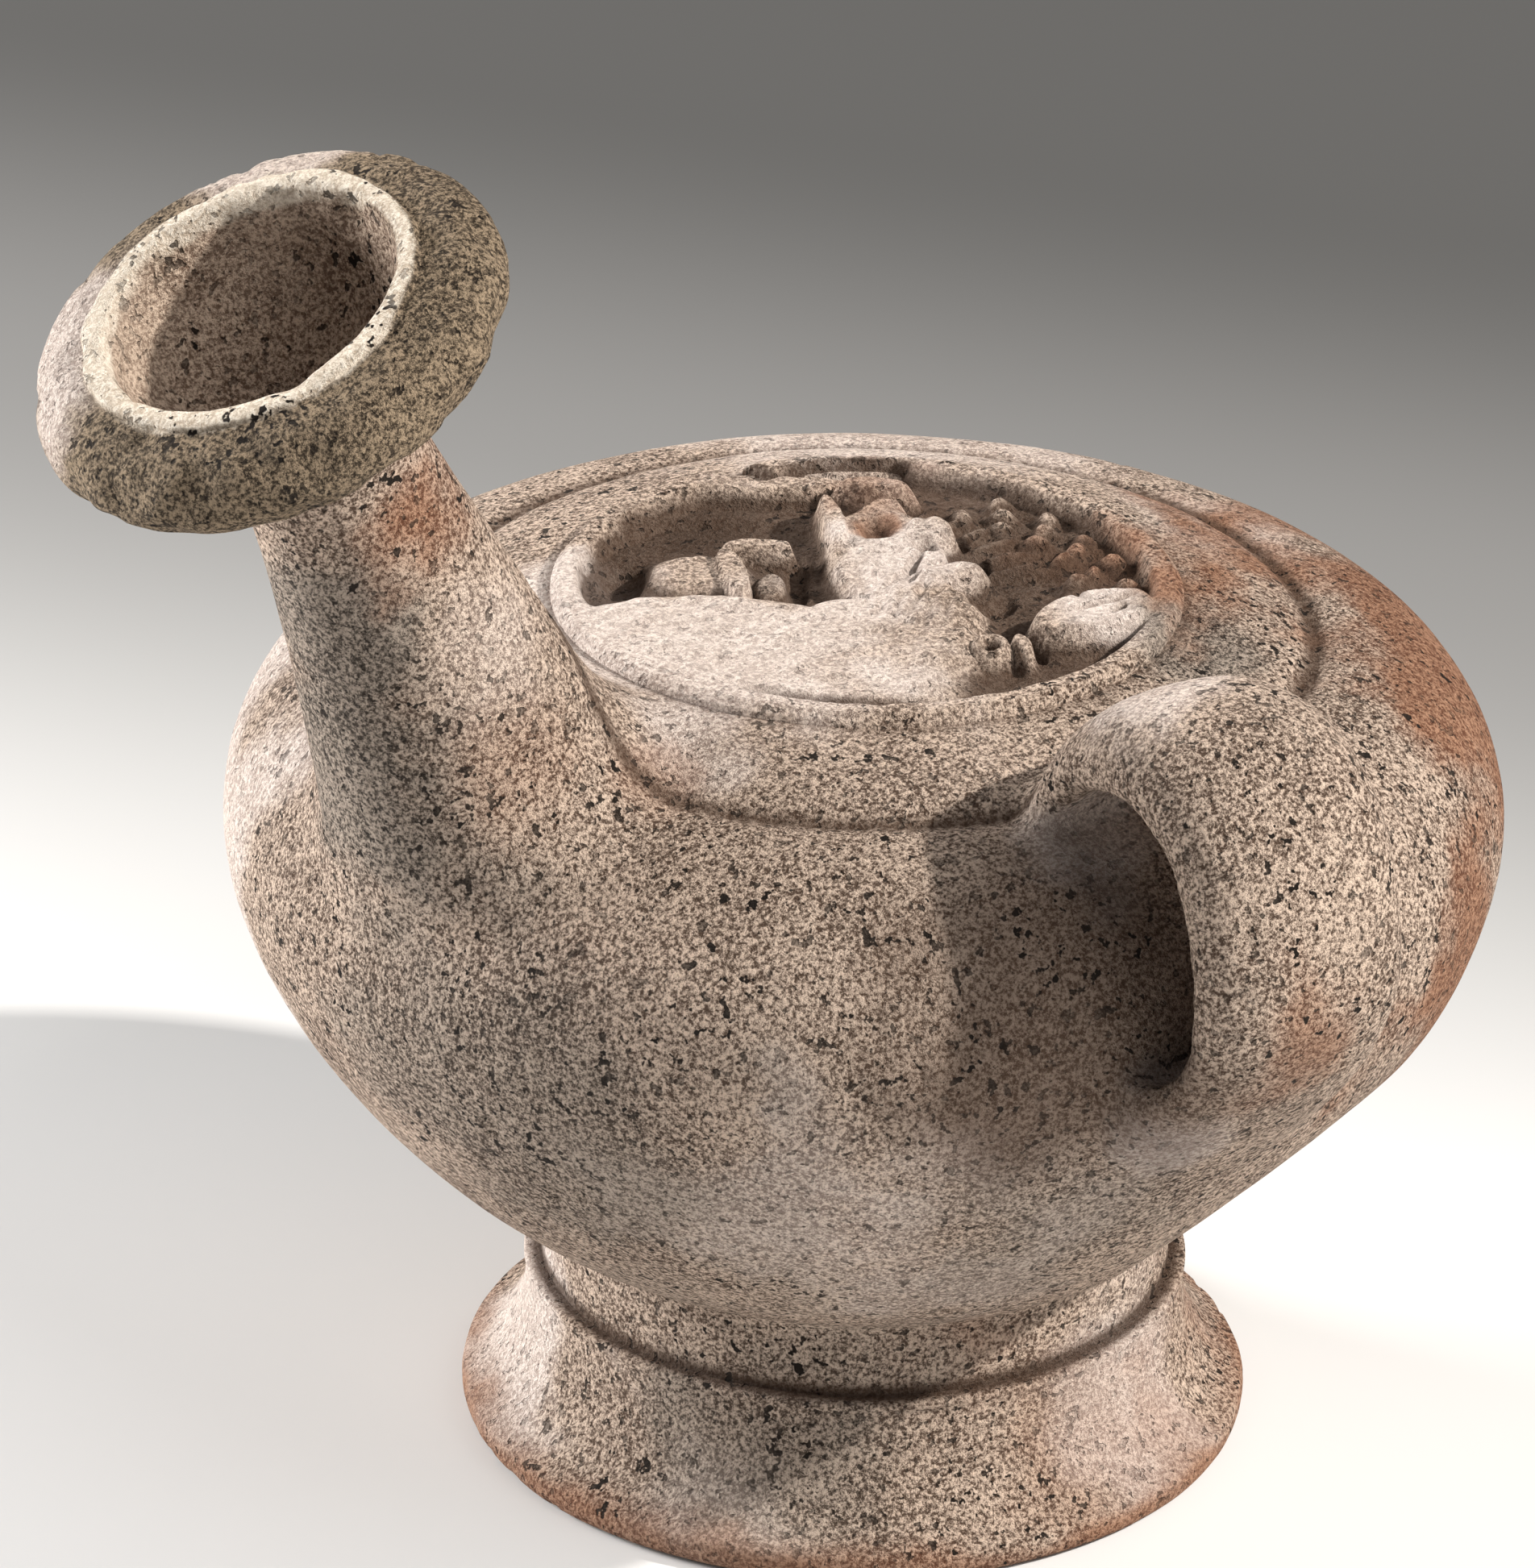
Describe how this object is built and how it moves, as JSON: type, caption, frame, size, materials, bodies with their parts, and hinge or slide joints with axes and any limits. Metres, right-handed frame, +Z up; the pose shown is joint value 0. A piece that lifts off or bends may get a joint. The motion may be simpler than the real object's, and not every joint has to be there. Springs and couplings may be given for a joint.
{
  "type": "guttus",
  "caption": "Small closed oil vessel of fired clay with a flaring mouth on a leaning spout, a strap handle, a relief medallion on top and a spreading foot.",
  "frame": {"origin": "under the middle of the whole vessel's plan, on the floor that the foot stands on", "axes": "+Z up; the spout points along -X; the handle stands on the -Y side, 7.5 degrees towards -X"},
  "size_m": [0.1292, 0.1144, 0.1214],
  "materials": {
    "fired_clay": "dull gritty fired clay with pits and grey deposits"
  },
  "bodies": {
    "root": {"guttus": "fired_clay"}
  },
  "joints": []
}
